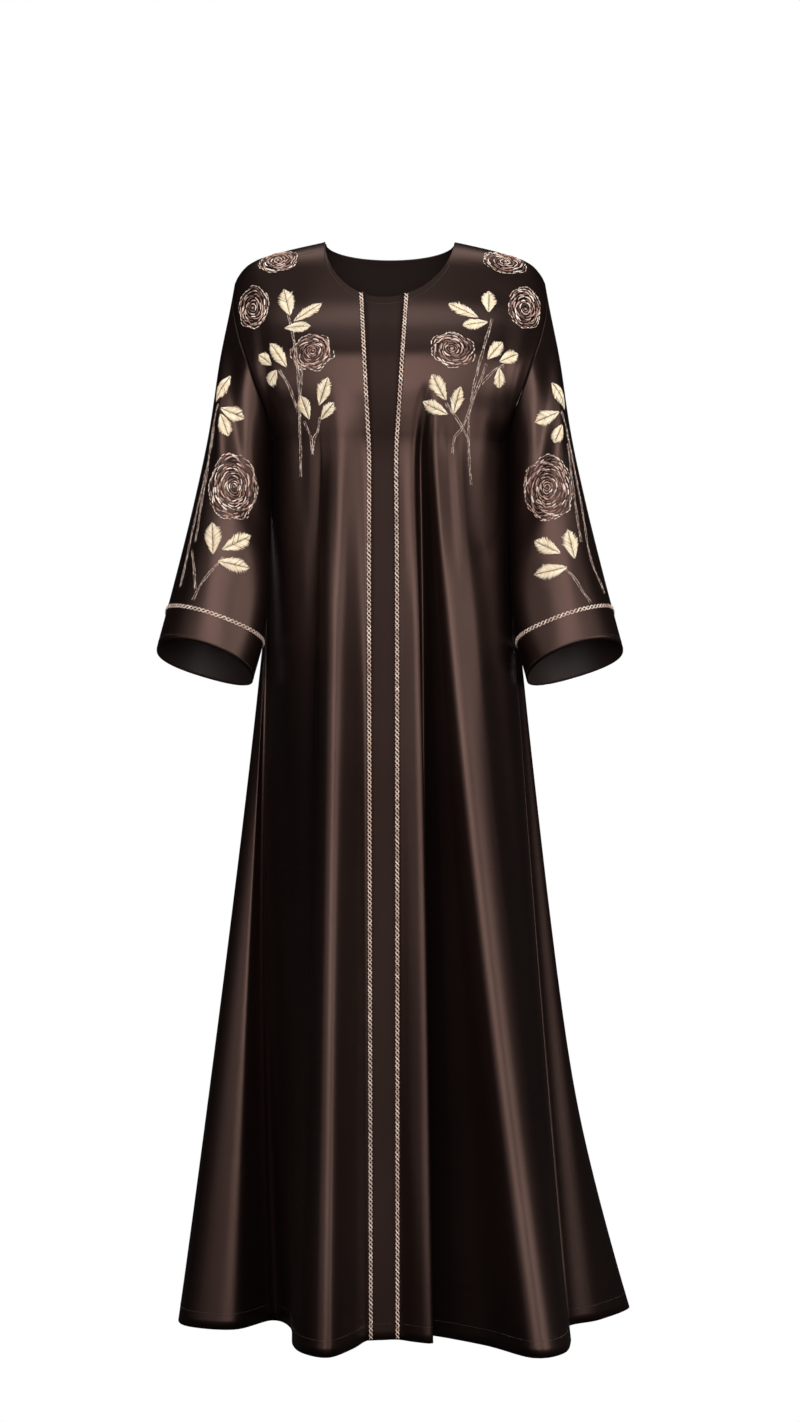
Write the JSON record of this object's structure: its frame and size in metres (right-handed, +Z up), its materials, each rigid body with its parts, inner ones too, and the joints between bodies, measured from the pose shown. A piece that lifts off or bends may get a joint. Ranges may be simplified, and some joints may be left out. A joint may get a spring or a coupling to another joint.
{
  "type": "abaya",
  "caption": "Long flared satin abaya hanging hollow as worn, with a corded centre placket, wide dropped sleeves, a round neck and a deeply folded hem.",
  "frame": {"origin": "middle of the neck opening, at the height of the two shoulder points where the wearer's shoulders carry the garment", "axes": "+Z up, +X to the right of a viewer who stands in front, -Y out of the garment's front; left and right in names are that viewer's"},
  "size_m": [0.609, 0.468, 1.3804],
  "materials": {
    "satin": "dark brown satin, smooth with a soft sheen",
    "cord_trim": "matt pale rose-beige cord of thread",
    "rose_thread": "rose-brown embroidery thread with a low sheen",
    "leaf_thread": "cream embroidery thread with a soft sheen"
  },
  "bodies": {
    "root": {"front_left": "satin", "front_right": "satin", "placket": "satin", "back": "satin", "sleeve_left": "satin", "sleeve_right": "satin", "placket_trim_left": "cord_trim", "placket_trim_right": "cord_trim", "cuff_trim_left": "cord_trim", "cuff_trim_right": "cord_trim"}
  },
  "joints": []
}
